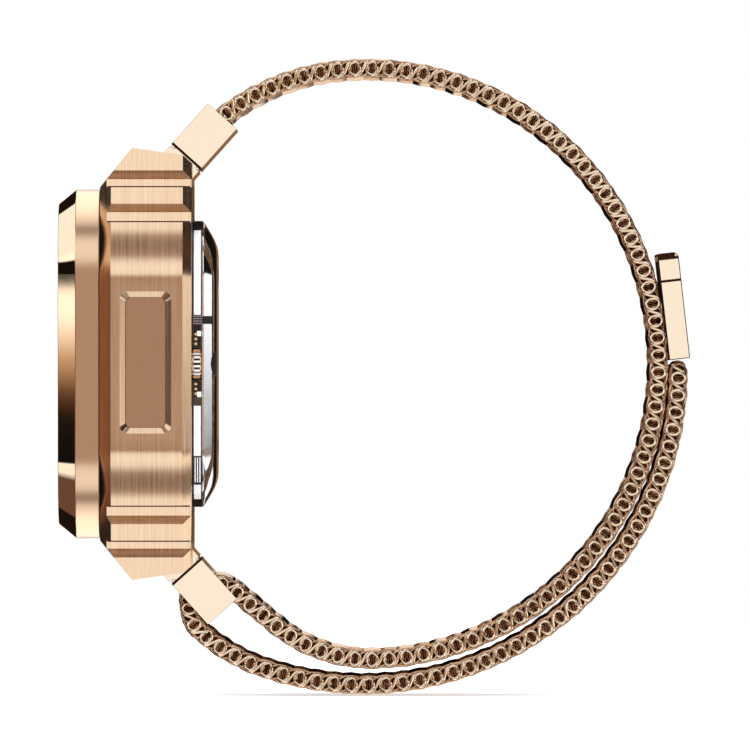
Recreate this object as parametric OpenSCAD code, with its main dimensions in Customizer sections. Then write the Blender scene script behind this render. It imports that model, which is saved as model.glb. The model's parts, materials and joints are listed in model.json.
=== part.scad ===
// Smartwatch in a rugged metal case, on a metal mesh band with a magnetic clasp.
//
// The watch stands upright as it is worn: +Z points to 12 o'clock, the display faces -Y, the
// wrist is on the +Y side and the side key is on +X. The origin is the middle of the flat
// window on the back of the watch, where it rests on the wrist. Lengths are in millimetres.

/* [Bezel] */
// Width of the bezel across the display
bezel_w = 38; // [37.5:0.1:38.6]
// Height of the bezel from 6 to 12 o'clock
bezel_h = 43.4; // [43:0.1:43.6]
// Corner radius of the bezel
bezel_r = 10.5; // [10:0.1:11]
// Width of the polished chamfer, measured in the plane of the display
bezel_chamfer = 1.8; // [1.2:0.1:2]
// Width of the opening over the display
opening_w = 31.4; // [30:0.1:32]
// Height of the opening over the display
opening_h = 36.8; // [35:0.1:37.4]

/* [Case] */
// Width of the case across its flat sides
case_w = 44; // [43.8:0.1:45]
// Distance between the two sloping ends of the case
case_h = 53.6; // [53.2:0.1:54]
// Bevel along the rear edge of the case
case_bevel = 1.1; // [0.8:0.1:1.2]
// Depth of the grooves at both ends of the side faces
groove_deep = 1; // [0.6:0.1:1.1]
// Depth of the bevelled pocket round the side key
pocket_deep = 0.6; // [0.3:0.1:0.7]
// Radius of the bars that hold the band
lug_bar_r = 0.75; // [0.6:0.05:0.8]

/* [Watch core] */
// Width of the rail and of the back shell
core_w = 31; // [30.6:0.1:31.2]
// Height of the rail and of the back shell
core_h = 35.6; // [35.2:0.1:35.8]
// Radius of the window on the back
window_r = 11; // [9.5:0.5:11.5]
// Radius of the thumb wheel
wheel_r = 1.85; // [1.7:0.05:1.9]

/* [Band] */
// Width of the mesh
band_w = 22; // [20:0.5:22]
// Thickness of the mesh
band_t = 2.2; // [1.8:0.1:2.2]
// Width of the two links, and of the clasp
link_w = 24; // [23.4:0.1:24.2]
// Thickness of the two links
link_t = 4.8; // [4.6:0.1:4.9]
// Length of the two links
link_l = 6.8; // [6.6:0.1:6.9]
// Gap between two stretches of mesh, where the band flexes
flex_gap = 0.3; // [0.2:0.05:0.4]
// Length of the clasp
clasp_l = 13.3; // [12:0.1:14]
// Thickness of the clasp
clasp_t = 2.6; // [2.4:0.1:2.6]

/* [Hidden] */
$fn = 64;
eps = 0.01;

// Depths of the watch along Y, from the front of the bezel to the window on the back
y_bezel = -19.7;
y_chamfer = -17.5;
y_bezel_back = -14.6;
y_case = -14.5;
y_case_back = -3.1;
y_rail = -3.0;
y_shell = -1.85;

// The cavity in the case, and the chassis of the watch core inside it
cavity = [33, 38.4, 8.8];
chassis = [32.6, 38, 8.6];
chassis_wall = 0.9;
y_chassis = -15.8;
y_floor = -4.1;

// Screws that hold the bezel to the case, as [x, z] of the one at the top right
screw_at = [15, 17.7];
screw_r = 0.6;
screw_head_r = 1.2;

// Glass, and the pocket for it behind the lip of the bezel
glass = [33.4, 38.8, 8.8];
glass_pocket = [34.2, 39.6, 9.2];
opening_r = 7.6;

// Shape of the case from the front: end of the flat sides, start and width of the taper
flat_z = 10.5;
taper_z = 17.5;
taper_x = 19;
taper = 0.3;
// Front edge of the side faces, and how far the front slopes in from there to the bezel
y_case_edge = -13.1;
front_slope = 2.8;
// Two grooves across each end of the side faces, as [wall, end of the floor, end of the slope]
grooves = [[17.55, 18.8, 19.85], [21.9, 22.9, 24]];

// Outline of the watch core at the rail, and the openings inside the rail
core_r = 7;
rail_in = [25, 29.6, 5];

// Bevelled pocket of the side key: middle, outer size and inner size along Y and Z
pocket_at = [-8.77, 0.17];
pocket_out = [6.65, 17.85, 1.1];
pocket_in = [5, 16.15, 0.7];
key_t = 1.5;
key_stem_r = 0.8;
key_stem_z = 5;
key_post_r = 1;
key_floor_x = 19.2;

// Links: the bar they turn on, and the middle and slope of the block
bar_at = [-5, 24.4];
link_at = [-1.62, 28.26];
link_slope = 48.2;
recess_w = link_w + 0.6;
recess_r = link_t / 2 + 0.5;
knuckle_r = link_t / 2;
cheek_t = 0.8;
nose_r = 0.95;

// Course of the band seen from the side: a start [y, z, heading], then stretches
// [radius, turn] in millimetres and degrees, or [0, length] where the band is straight
loop_path = [[0.7, 30.8, 38], [28, -33], [36, -55], [37.2, -80], [36, -48], [19, -42], [0, 6.2]];
loop_l = path_len(loop_path, 6);
fold_path = [end_pose(loop_path), [4.97, 48], [2.23, 87]];
fold_l = path_len(fold_path, 2);
tail_path = [end_pose(fold_path), [0, 1], [4, 43], [22.7, 23.5], [39.2, 40.4], [39, 70]];
tail_l = path_len(tail_path, 5);

// Places along the band, from the top link and from the fold, where it flexes
loop_flex = [0, 12, 26, 40, 54];
tail_flex = [24, 40, 56, 72, tail_l];
clasp_at = [57.5, 0.6, 96.4];

// Colours
rose = [0.87, 0.70, 0.54];
rose_light = [0.95, 0.82, 0.68];
rose_dark = [0.76, 0.55, 0.40];
steel = [0.78, 0.78, 0.80];
dark = [0.10, 0.10, 0.11];
rubber = [0.16, 0.15, 0.15];
copper = [0.72, 0.42, 0.24];
board = [0.10, 0.30, 0.22];

// ---- Course of the band ----

// Length of one stretch
function stretch_len(s) = s[0] == 0 ? s[1] : s[0] * abs(s[1]) * PI / 180;

// Length of the first n stretches of a path
function path_len(path, n) = n == 0 ? 0 : path_len(path, n - 1) + stretch_len(path[n]);

// Middle of the arc of a stretch that starts at pose q
function arc_centre(q, s) = [q[0], q[1]] + s[0] * sign(s[1]) * [-sin(q[2]), cos(q[2])];

// Pose [y, z, heading] after the distance d along a stretch that starts at pose q
function pose_along(q, s, d) =
    s[0] == 0
    ? [q[0] + d * cos(q[2]), q[1] + d * sin(q[2]), q[2]]
    : let (
        side = sign(s[1]),
        h = q[2] + side * d / s[0] * 180 / PI,
        p = arc_centre(q, s) + s[0] * side * [sin(h), -cos(h)]
    ) [p[0], p[1], h];

// Pose at the end of stretch n of a path, and at the end of the whole path
function pose_after(path, n) =
    n == 0 ? path[0] : pose_along(pose_after(path, n - 1), path[n], stretch_len(path[n]));
function end_pose(path) = pose_after(path, len(path) - 1);

// Pose at the distance d from the start of a path, counted from stretch i
function pose_at(path, d, i = 1) =
    i == len(path) - 1 || d <= stretch_len(path[i])
    ? pose_along(pose_after(path, i - 1), path[i], d)
    : pose_at(path, d - stretch_len(path[i]), i + 1);

// ---- Shapes used more than once ----

// Extrudes an outline drawn in Y and Z across the watch, from x0 to x1
module across(x0, x1) {
    translate([x0, 0, 0])
        rotate([90, 0, 90])
            linear_extrude(x1 - x0)
                children();
}

// Extrudes an outline drawn in X and Z from the depth y0 to the depth y1
module deep(y0, y1) {
    translate([0, y1, 0])
        rotate([90, 0, 0])
            linear_extrude(y1 - y0)
                children();
}

// Round bar along X, at [y, z]
module bar_x(at, r, x0, x1) {
    translate([x0, at[0], at[1]])
        rotate([0, 90, 0])
            cylinder(r = r, h = x1 - x0);
}

// Round bar along Y, at [x, z]
module bar_y(at, r, y0, y1) {
    translate([at[0], y1, at[1]])
        rotate([90, 0, 0])
            cylinder(r = r, h = y1 - y0);
}

// Rectangular block between two corners
module block(a, b) {
    translate(a)
        cube(b - a);
}

// Outline of a rectangle with round corners
module rounded(w, h, r) {
    square([w - 2 * r, h], center = true);
    square([w, h - 2 * r], center = true);
    for (x = [-1, 1], y = [-1, 1])
        translate([x * (w / 2 - r), y * (h / 2 - r)])
            circle(r);
}

// Outline of a rounded ring: size [w, h, r] outside, wall thickness t
module rounded_ring(size, t) {
    difference() {
        rounded(size[0], size[1], size[2]);
        rounded(size[0] - 2 * t, size[1] - 2 * t, size[2] - t);
    }
}

// Repeats what stands at the top right screw at all four screws
module at_screws() {
    for (mx = [0, 1], mz = [0, 1])
        mirror([mx, 0, 0])
            mirror([0, 0, mz])
                children();
}

// Mesh along a path, between two distances from its start, in chords of about the length step
module mesh_strip(path, from, to, step = 1.2) {
    n = ceil((to - from) / step);
    poses = [for (k = [0 : n]) pose_at(path, from + (to - from) * k / n)];
    function edge(q, t) = [q[0] - t * sin(q[2]), q[1] + t * cos(q[2])];
    across(-band_w / 2, band_w / 2)
        polygon(concat(
            [for (k = [0 : n]) edge(poses[k], band_t / 2)],
            [for (k = [n : -1 : 0]) edge(poses[k], -band_t / 2)]));
}

// Stretch of the loop, or of the tail, between two places where the band flexes
module loop_mesh(i) {
    from = loop_flex[i] + flex_gap / 2;
    to = i < len(loop_flex) - 1 ? loop_flex[i + 1] - flex_gap / 2 : loop_l;
    color(rose)
        mesh_strip(loop_path, from, to);
}

module tail_mesh(i) {
    color(rose)
        mesh_strip(tail_path, tail_flex[i] + flex_gap / 2, tail_flex[i + 1] - flex_gap / 2);
}

// ---- Bezel and case ----

// Front frame with a polished chamfer round its outer edge
module bezel() {
    lip = 1.1;
    color(rose)
        difference() {
            union() {
                deep(y_chamfer, y_bezel_back)
                    rounded(bezel_w, bezel_h, bezel_r);
                hull()
                    for (s = [[y_bezel, bezel_chamfer], [y_chamfer - eps, 0]])
                        deep(s[0], s[0] + eps)
                            rounded(bezel_w - 2 * s[1], bezel_h - 2 * s[1], bezel_r - s[1]);
            }
            deep(y_bezel - 1, 0)
                rounded(opening_w, opening_h, opening_r);
            deep(y_bezel + lip, 0)
                rounded(glass_pocket[0], glass_pocket[1], glass_pocket[2]);
            at_screws()
                bar_y(screw_at, screw_r + 0.05, y_bezel_back - 1.8, y_bezel_back + 1);
        }
}

// Half the width of the case at the height z: flat in the middle, then a soft S-shaped drop,
// then a straight taper
function case_x(z) =
    let (
        t = min(1, max(0, (z - flat_z) / (taper_z - flat_z))),
        drop = t * t * (3 - 2 * t) * (case_w / 2 - taper_x) + t * t * (t - 1) * (taper_z - flat_z) * taper
    )
    case_w / 2 - drop - taper * max(0, z - taper_z);

// Outline of the case seen from the front
module case_plan() {
    end = case_h / 2;
    zs = concat([0], [for (k = [0 : 12]) flat_z + (taper_z - flat_z) * k / 12], [end]);
    quarter = [for (z = zs) [case_x(z), z]];
    for (x = [-1, 1], z = [-1, 1])
        polygon([for (p = concat([[0, 0]], quarter, [[0, end]])) [x * p[0], z * p[1]]]);
}

// Outline of the case seen from the side, in Y and Z
module case_profile() {
    h = case_h / 2;
    half = [[y_case, h - 4.9], [-10.5, h], [-4.2, h - 0.9], [y_case_back, h - 1.9]];
    polygon(concat(half, [for (i = [3 : -1 : 0]) [half[i][0], -half[i][1]]]));
}

// Tapered slab of the case between two depths, narrower at its front or at its back
module case_taper_slab(y0, y1, inset, front) {
    narrow = [1 - 2 * inset / case_w, 1 - inset / case_h];
    translate([0, front ? y1 : y0, 0])
        rotate([front ? 90 : -90, 0, 0])
            linear_extrude(y1 - y0, scale = narrow, slices = 1)
                case_plan();
}

// Groove across the side face: wall at z0, floor up to z1, and a slope back up to z2
module case_groove(z0, z1, z2) {
    rise = case_x(z2) - case_x(z1) + groove_deep;
    deep(y_case - 1, y_case_back + 1)
        polygon([
            [case_x(z0) - groove_deep, z0],
            [case_x(z1) - groove_deep, z1],
            [case_x(z2), z2],
            [case_x(z2) + rise, 2 * z2 - z1],
            [case_w, 2 * z2 - z1],
            [case_w, z0]]);
}

// Bevelled pocket in the side face, cut from the outside on the side x = +1 or -1
module side_pocket(side) {
    rotate([0, 0, side > 0 ? 0 : 180])
        translate([0, 2 * pocket_at[0] * (side > 0 ? 0 : -1), 0]) {
            hull()
                for (s = [[case_w / 2 - pocket_deep, pocket_in], [case_w / 2 + 0.2, pocket_out + [0.2, 0.2, 0]]])
                    across(s[0], s[0] + eps)
                        translate(pocket_at)
                            rounded(s[1][0], s[1][1], s[1][2]);
            across(key_floor_x, case_w / 2)
                translate(pocket_at)
                    rounded(pocket_in[0], pocket_in[1], pocket_in[2]);
        }
}

// Recess for a link between the two horns of the case
module link_recess() {
    across(-recess_w / 2, recess_w / 2) {
        translate(bar_at)
            circle(recess_r);
        translate(bar_at)
            rotate(link_slope)
                translate([0, -recess_r])
                    square([9, 2 * recess_r]);
    }
}

// Middle case: cavity for the watch core, pockets for the keys, and horns for the band
module mid_case() {
    color(rose)
        difference() {
            intersection() {
                across(-case_w, case_w)
                    case_profile();
                union() {
                    deep(y_case_edge, y_case_back - case_bevel)
                        case_plan();
                    case_taper_slab(y_case, y_case_edge, front_slope, true);
                    case_taper_slab(y_case_back - case_bevel, y_case_back, case_bevel, false);
                }
            }
            deep(y_case - 1, y_case_back + 1)
                rounded(cavity[0], cavity[1], cavity[2]);
            for (mx = [0, 1], mz = [0, 1])
                mirror([mx, 0, 0])
                    mirror([0, 0, mz])
                        for (g = grooves)
                            case_groove(g[0], g[1], g[2]);
            side_pocket(1);
            side_pocket(-1);
            for (m = [0, 1])
                mirror([0, 0, m]) {
                    link_recess();
                    bar_x(bar_at, lug_bar_r + 0.05, -13.5, 13.5);
                }
            key_bores();
            at_screws() {
                bar_y(screw_at, screw_r + 0.05, y_case - 1, y_case_back + 1);
                bar_y(screw_at, screw_head_r + 0.05, y_case_back - 1, y_case_back + 1);
            }
        }
}

// Bores behind the side key: two stems with springs and seals, and the post of the switch
module key_bores() {
    y = pocket_at[0];
    for (z = [-key_stem_z, key_stem_z]) {
        at = [y, pocket_at[1] + z];
        bar_x(at, key_stem_r + 0.06, 16, key_floor_x + 1);
        bar_x(at, 1.5, 17.9, key_floor_x + 1);
        bar_x(at, 1.45, 16, 17.3);
    }
    bar_x(pocket_at, key_post_r + 0.06, 16, key_floor_x + 1);
    bar_x(pocket_at, 2, 16, 17.6);
}

// Thin seal under the front lip of the bezel
module bezel_gasket() {
    color(rubber)
        deep(-18.6, -18.3)
            rounded_ring(glass, 0.8);
}

// Thin seal in the groove between the bezel and the case
module case_gasket() {
    color(dark)
        difference() {
            deep(y_bezel_back, y_case)
                rounded_ring([bezel_w - 0.6, bezel_h - 0.6, bezel_r - 0.3], 2);
            at_screws()
                bar_y(screw_at, screw_r + 0.05, y_bezel_back - 1, y_case + 1);
        }
}

// Fixed cover in the pocket opposite the side key
module side_blank() {
    color(rose_dark)
        across(-case_w / 2 + pocket_deep, -key_floor_x)
            translate(pocket_at)
                rounded(pocket_in[0] - 0.1, pocket_in[1] - 0.1, pocket_in[2]);
}

// Four screws that hold the bezel to the case, from the back
module case_screws() {
    color(steel)
        at_screws()
            difference() {
                union() {
                    bar_y(screw_at, screw_r, y_bezel_back - 1.6, y_case_back - 0.3);
                    bar_y(screw_at, screw_head_r, y_case_back - 0.95, y_case_back - 0.1);
                }
                deep(y_case_back - 0.5, y_case_back)
                    translate(screw_at)
                        circle(0.6, $fn = 6);
            }
}

// ---- Display and watch core ----

module display_glass() {
    color([0.04, 0.04, 0.05])
        deep(-18.3, -17.2)
            rounded(glass[0], glass[1], glass[2]);
}

module display_frame() {
    color(steel)
        deep(-17.2, -15.9)
            rounded_ring(glass, 1.2);
}

module display_panel() {
    color(dark)
        deep(-17.2, -16.2)
            rounded(glass[0] - 2.6, glass[1] - 2.6, glass[2] - 1.3);
}

// Ribbon from the panel down to the main board
module display_flex() {
    color(copper)
        block([-4, -16.2, 14.5], [4, -14.7, 14.7]);
}

// Aluminium tub of the watch core, open to the display, with a floor at the back
module core_chassis() {
    color(steel)
        difference() {
            deep(y_chassis, y_case_back)
                rounded(chassis[0], chassis[1], chassis[2]);
            deep(y_chassis - 1, y_floor)
                rounded(chassis[0] - 2 * chassis_wall, chassis[1] - 2 * chassis_wall,
                    chassis[2] - chassis_wall);
            block([9, y_case_back - 0.75, -2.3], [chassis[0], y_case_back + 1, 2.3]);
            bar_y([-8, -12], 1, y_floor - 1, y_case_back + 1);
        }
}

module main_board() {
    color(board)
        block([-13.8, -14.7, -8], [13.8, -13.9, 15]);
}

// Processor, memory and radio modules on the main board
module board_chips() {
    color(dark)
        for (c = [[-12, 4, 9, 9], [-1, 5, 7, 7], [7.5, 4, 5, 8], [-12, -5, 6, 7], [-4, -6, 8, 9], [6, -6, 6, 7]])
            block([c[0], -13.9, c[1]], [c[0] + c[2], -12.8, c[1] + c[3]]);
}

module battery() {
    color([0.25, 0.25, 0.28])
        deep(-12.4, -6.2)
            translate([0, 3.5])
                rounded(26, 23, 1.5);
}

// Linear vibration motor: housing, sliding mass and leaf springs
module haptic_case() {
    color(steel)
        difference() {
            block([-5, -12, -16.7], [12, -7, -10]);
            block([-4.4, -11.4, -16.4], [11.4, -7.6, -10.6]);
        }
}

module haptic_mass() {
    color([0.45, 0.45, 0.48])
        block([-2.2, -11.1, -16.1], [9.2, -7.9, -10.9]);
}

module haptic_springs() {
    color(copper)
        for (x = [-4.35, 11.15])
            block([x, -11.2, -16.2], [x + 0.2, -7.8, -10.8]);
}

module speaker_unit() {
    color(dark)
        block([-13, -12, -16], [-6, -7.5, -10]);
}

module microphone() {
    color(steel)
        block([-9.5, -5.2, -13.5], [-6.5, y_floor, -10.5]);
}

// Antenna carrier round the inside of the tub, above the board
module antenna_frame() {
    color([0.85, 0.85, 0.83])
        deep(y_chassis + 0.1, -14.9)
            rounded_ring([30.6, 36, 7.6], 0.8);
}

// Seal between the tub and the rail
module core_gasket() {
    color(rubber)
        difference() {
            deep(y_case_back, y_rail)
                rounded_ring([core_w - 0.4, core_h - 0.4, core_r - 0.2], 1.2);
            block([9, -4, -2.3], [20, 0, 2.3]);
        }
}

// Modules along the edge of the rail, as [z from, z to]
white_strips = [[6.1, 16.6], [-11.4, -5.2], [-16.8, -15]];
dark_blocks = [[16.7, 17.7], [2.1, 4.8], [-4.1, -2.1], [-17.7, -16.9]];

// Band of the rail's edge between two heights, standing out by o, with the depth d
module rail_edge(z0, z1, o, d) {
    intersection() {
        deep(y_rail + 0.15, y_shell - 0.15)
            difference() {
                rounded(core_w + 2 * o, core_h + 2 * o, core_r + o);
                rounded(core_w - 2 * d, core_h - 2 * d, core_r - d);
            }
        block([-30, -10, z0], [30, 10, z1]);
    }
}

// Rail between the tub and the back shell, with a notch for the thumb wheel
module core_rail() {
    color(rose_dark)
        difference() {
            deep(y_rail, y_shell)
                difference() {
                    rounded(core_w, core_h, core_r);
                    rounded(rail_in[0] - 6, rail_in[1] - 6, rail_in[2]);
                    circle(window_r + 0.4);
                }
            block([11.7, -4, -2], [20, 0, 2]);
            for (s = concat(white_strips, dark_blocks))
                rail_edge(s[0] - 0.02, s[1] + 0.02, 1, 0.42);
        }
}

module rail_inserts() {
    color([0.93, 0.93, 0.92])
        for (s = white_strips)
            rail_edge(s[0], s[1], 0.05, 0.4);
}

module contact_blocks() {
    color(dark)
        for (s = dark_blocks)
            rail_edge(s[0], s[1], 0.1, 0.4);
}

// Rows of contact pins on the two blocks beside the thumb wheel
module contact_pins() {
    color([0.85, 0.65, 0.30])
        for (z = [2.5, 3.1, 3.7, -2.5, -3.1, -3.7])
            bar_x([-2.6, z], 0.18, core_w / 2 + 0.1, core_w / 2 + 0.3);
}

// Sliding carrier of the thumb wheel, with its axle
module crown_carrier() {
    color(steel) {
        block([10.5, -3.75, -2.1], [15.6, -3.15, 2.1]);
        bar_y([14.3, 0], 0.5, -3.15, -1.95);
    }
}

module crown_wheel() {
    teeth = 30;
    color(rose_light)
        difference() {
            bar_y([14.3, 0], wheel_r, -2.85, -2.1);
            bar_y([14.3, 0], 0.55, -4, 0);
            for (k = [0 : teeth - 1])
                translate([14.3 + wheel_r * cos(k * 360 / teeth), 0, wheel_r * sin(k * 360 / teeth)])
                    rotate([0, 45 - k * 360 / teeth, 0])
                        cube([0.16, 10, 0.16], center = true);
        }
}

// Plain rings on both ends of the thumb wheel
module crown_rings() {
    color(copper)
        for (y = [-3.05, -2.1])
            difference() {
                bar_y([14.3, 0], wheel_r, y, y + (y < -3 ? 0.2 : 0.17));
                bar_y([14.3, 0], 0.55, -4, 0);
            }
}

module crown_sensor() {
    color(dark)
        block([12, -4.9, -1], [14, y_floor, 1]);
}

module crown_spring() {
    color(steel)
        difference() {
            bar_x([-3.45, 0], 0.28, 9.05, 10.1);
            bar_x([-3.45, 0], 0.16, 9, 11);
        }
}

// Push key in the pocket on the right side, with two guide stems and the post of the switch
module side_key() {
    x = case_w / 2 - pocket_deep;
    color(rose_dark) {
        across(x - key_t, x)
            translate(pocket_at)
                rounded(pocket_in[0] - 0.1, pocket_in[1] - 0.1, pocket_in[2]);
        for (z = [-key_stem_z, key_stem_z])
            bar_x(pocket_at + [0, z], key_stem_r, 17, x - key_t + eps);
        bar_x(pocket_at, key_post_r, 17.3, x - key_t + eps);
    }
}

module side_key_springs() {
    color(steel)
        for (z = [-key_stem_z, key_stem_z])
            difference() {
                bar_x(pocket_at + [0, z], 1.4, 17.95, 19.2);
                bar_x(pocket_at + [0, z], 1, 17, 20);
            }
}

module side_key_seals() {
    color(rubber)
        for (z = [-key_stem_z, key_stem_z])
            difference() {
                bar_x(pocket_at + [0, z], 1.4, 16.7, 17.25);
                bar_x(pocket_at + [0, z], 0.95, 16, 18);
            }
}

module side_key_switch() {
    color(dark)
        bar_x(pocket_at, 1.6, 16.35, 16.75);
}

// ---- Back of the watch ----

// Domed back shell, with an elliptical edge, and a round hole for the window
module back_shell() {
    steps = 6;
    edge = 4.1;
    color(steel)
        difference() {
            hull()
                for (k = [0 : steps]) {
                    a = 90 * k / steps;
                    inset = edge * (1 - cos(a));
                    depth = min(y_shell - y_shell * sin(a), -eps);
                    deep(depth, depth + eps)
                        rounded(core_w - 2 * inset, core_h - 2 * inset, core_r - inset / 2);
                }
            bar_y([0, 0], window_r + 0.05, y_shell - 1, 1);
        }
}

module sensor_window() {
    color([0.05, 0.05, 0.07])
        bar_y([0, 0], window_r, -0.9, 0);
}

module sensor_board() {
    color(board)
        bar_y([0, 0], 10.4, -1.75, -1.15);
}

// Light sources and detectors of the pulse sensor
module sensor_leds() {
    color([0.2, 0.5, 0.3])
        for (a = [0 : 45 : 315])
            translate([5.5 * cos(a), 0, 5.5 * sin(a)])
                block([-0.8, -1.15, -0.8], [0.8, -0.92, 0.8]);
}

module charge_coil() {
    color(copper)
        deep(-2.75, -1.85)
            difference() {
                circle(9.8);
                circle(6);
            }
}

module ferrite_disc() {
    color([0.3, 0.3, 0.32])
        bar_y([0, 0], 10.4, -3.05, -2.8);
}

// ---- Links, buckle, mesh and clasp ----

module lug_bar_top() {
    color(steel)
        bar_x(bar_at, lug_bar_r, -13.4, 13.4);
}

module lug_bar_bottom() {
    mirror([0, 0, 1])
        lug_bar_top();
}

// Distance along the link from its middle back to the bar
link_back = norm(link_at - bar_at);

// Block and knuckle of a link at the top of the case, with a bore for its bar
module link_body(bore_r) {
    half = link_w / 2;
    difference() {
        union() {
            across(-half, half)
                translate(link_at)
                    rotate(link_slope)
                        square([link_l, link_t], center = true);
            across(-half + 0.3, half - 0.3)
                translate(link_at)
                    rotate(link_slope)
                        translate([-link_l / 2 - 0.3, -link_t / 2 + 0.2])
                            square([0.4, link_t - 0.4]);
            across(-half, half) {
                translate(link_at)
                    rotate(link_slope)
                        translate([-link_back, -link_t / 2])
                            square([link_back - link_l / 2 - 0.25, link_t]);
                translate(bar_at)
                    circle(knuckle_r);
            }
        }
        bar_x(bar_at, bore_r, -link_w, link_w);
    }
}

// Link at the top, fixed to the end of the mesh
module end_link() {
    color(rose_light)
        link_body(lug_bar_r + 0.3);
}

// Link at the bottom: a buckle of two cheeks and a cross member, open for the mesh
module buckle_frame() {
    inner = link_w / 2 - cheek_t;
    color(rose_light)
        mirror([0, 0, 1])
            difference() {
                link_body(lug_bar_r + 0.05);
                across(-inner, inner)
                    translate(link_at)
                        rotate(link_slope)
                            translate([-link_l / 2 + 0.8, -link_t])
                                square([link_l, 2 * link_t]);
                bar_x(nose_at, nose_r + 0.05, -inner - 0.5, inner + 0.5);
            }
}

// Middle of the fold, mirrored to the frame of the top link
fold_centre = arc_centre(pose_after(fold_path, 1), fold_path[2]);
nose_at = [fold_centre[0], -fold_centre[1]];

// Round bar of the buckle, which the mesh folds over
module buckle_bar() {
    inner = link_w / 2 - cheek_t;
    color(rose_light)
        bar_x(fold_centre, nose_r, -inner - 0.45, inner + 0.45);
}

module mesh_fold() {
    color(rose)
        mesh_strip(fold_path, 0, fold_l, 0.4);
}

module mesh_tail_root() {
    color(rose)
        mesh_strip(tail_path, 0, tail_flex[0] - flex_gap / 2, 0.6);
}

// Draws in the frame of the clasp: X along it from its lower end, Y outward
module in_clasp(half_w) {
    across(-half_w, half_w)
        translate([clasp_at[0], clasp_at[1]])
            rotate(clasp_at[2] - 180)
                mirror([1, 0])
                    children();
}

// Shell of the clasp, hollow for the magnet and open to the band
module clasp_shell() {
    half_t = clasp_t / 2;
    color(rose_light)
        difference() {
            in_clasp(link_w / 2)
                polygon([[0, -half_t], [clasp_l - 0.2, -half_t], [clasp_l, -half_t + 0.2],
                    [clasp_l, half_t - 0.5], [clasp_l - 0.5, half_t], [0, half_t]]);
            in_clasp(link_w / 2 - 1)
                translate([1, -half_t - 1])
                    square([clasp_l - 2, 1 + 1.9]);
        }
}

module clasp_magnet() {
    color([0.5, 0.5, 0.52])
        in_clasp(link_w / 2 - 1.2)
            translate([1.2, -clasp_t / 2 + 0.35])
                square([clasp_l - 2.4, 1.5]);
}

module clasp_liner() {
    color(rubber)
        in_clasp(link_w / 2 - 1.1)
            translate([1.1, -clasp_t / 2 + 0.02])
                square([clasp_l - 2.2, 0.3]);
}

bezel();
mid_case();
bezel_gasket();
case_gasket();
side_blank();
case_screws();
display_glass();
display_panel();
display_frame();
display_flex();
core_chassis();
main_board();
board_chips();
battery();
haptic_case();
haptic_mass();
haptic_springs();
speaker_unit();
microphone();
antenna_frame();
core_rail();
rail_inserts();
contact_blocks();
contact_pins();
crown_carrier();
crown_wheel();
crown_rings();
crown_sensor();
crown_spring();
side_key();
side_key_seals();
side_key_switch();
side_key_springs();
back_shell();
sensor_window();
sensor_board();
sensor_leds();
charge_coil();
ferrite_disc();
core_gasket();
lug_bar_top();
lug_bar_bottom();
end_link();
buckle_frame();
buckle_bar();
loop_mesh(0);  // mesh_1
loop_mesh(1);  // mesh_2
loop_mesh(2);  // mesh_3
loop_mesh(3);  // mesh_4
loop_mesh(4);  // mesh_main
mesh_fold();
mesh_tail_root();
tail_mesh(0);  // tail_1
tail_mesh(1);  // tail_2
tail_mesh(2);  // tail_3
tail_mesh(3);  // tail_4
clasp_shell();
clasp_magnet();
clasp_liner();
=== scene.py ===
"""Looks of the smartwatch: woven mesh band, polished bezel and back, brushed case and links.

The display faces -Y, 12 o'clock is +Z and the side key is on +X. Lengths that describe the
object are in millimetres and are turned into metres where a mesh is made.
"""

import json
import math

import bmesh
import bpy
import numpy as np
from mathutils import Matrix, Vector


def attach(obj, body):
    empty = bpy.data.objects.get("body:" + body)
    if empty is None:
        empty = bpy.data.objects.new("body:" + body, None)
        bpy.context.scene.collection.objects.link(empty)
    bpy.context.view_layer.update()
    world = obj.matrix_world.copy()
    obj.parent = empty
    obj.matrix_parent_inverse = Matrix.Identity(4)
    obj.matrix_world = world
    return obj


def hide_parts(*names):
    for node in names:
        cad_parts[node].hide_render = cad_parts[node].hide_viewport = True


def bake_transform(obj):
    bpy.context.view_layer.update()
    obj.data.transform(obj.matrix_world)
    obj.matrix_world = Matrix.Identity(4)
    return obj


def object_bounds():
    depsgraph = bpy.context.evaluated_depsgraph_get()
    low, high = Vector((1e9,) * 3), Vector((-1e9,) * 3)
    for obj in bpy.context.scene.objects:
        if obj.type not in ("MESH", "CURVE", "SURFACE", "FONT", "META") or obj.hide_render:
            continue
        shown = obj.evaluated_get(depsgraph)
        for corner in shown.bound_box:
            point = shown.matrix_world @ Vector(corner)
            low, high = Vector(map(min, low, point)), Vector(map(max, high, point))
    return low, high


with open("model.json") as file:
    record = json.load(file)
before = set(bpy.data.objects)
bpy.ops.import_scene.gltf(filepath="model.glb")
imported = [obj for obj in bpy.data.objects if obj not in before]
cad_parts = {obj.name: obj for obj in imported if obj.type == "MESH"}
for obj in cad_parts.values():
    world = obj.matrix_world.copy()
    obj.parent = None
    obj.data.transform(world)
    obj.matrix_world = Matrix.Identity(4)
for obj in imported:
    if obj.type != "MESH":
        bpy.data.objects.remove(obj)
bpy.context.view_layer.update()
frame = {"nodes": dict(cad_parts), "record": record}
MM = 0.001
nodes = frame["nodes"]

# ---- Camera: level, looking along -X at the 3 o'clock side ----

VIEW_WIDTH = 93.75 * MM
VIEW_CENTRE = (19.625 * MM, -1.375 * MM)
LENS = 800
SENSOR_WIDTH = 36
camera_data = bpy.data.cameras.new("camera")
camera_data.lens = LENS
camera_data.sensor_width = SENSOR_WIDTH
camera_data.clip_end = 100
camera = bpy.data.objects.new("camera", camera_data)
bpy.context.scene.collection.objects.link(camera)
camera.location = (VIEW_WIDTH * LENS / SENSOR_WIDTH, VIEW_CENTRE[0], VIEW_CENTRE[1])
camera.rotation_euler = (math.radians(90), 0, math.radians(90))
bpy.context.scene.camera = camera
bpy.context.scene.view_settings.view_transform = "Standard"


# ---- Node materials ----


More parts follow.
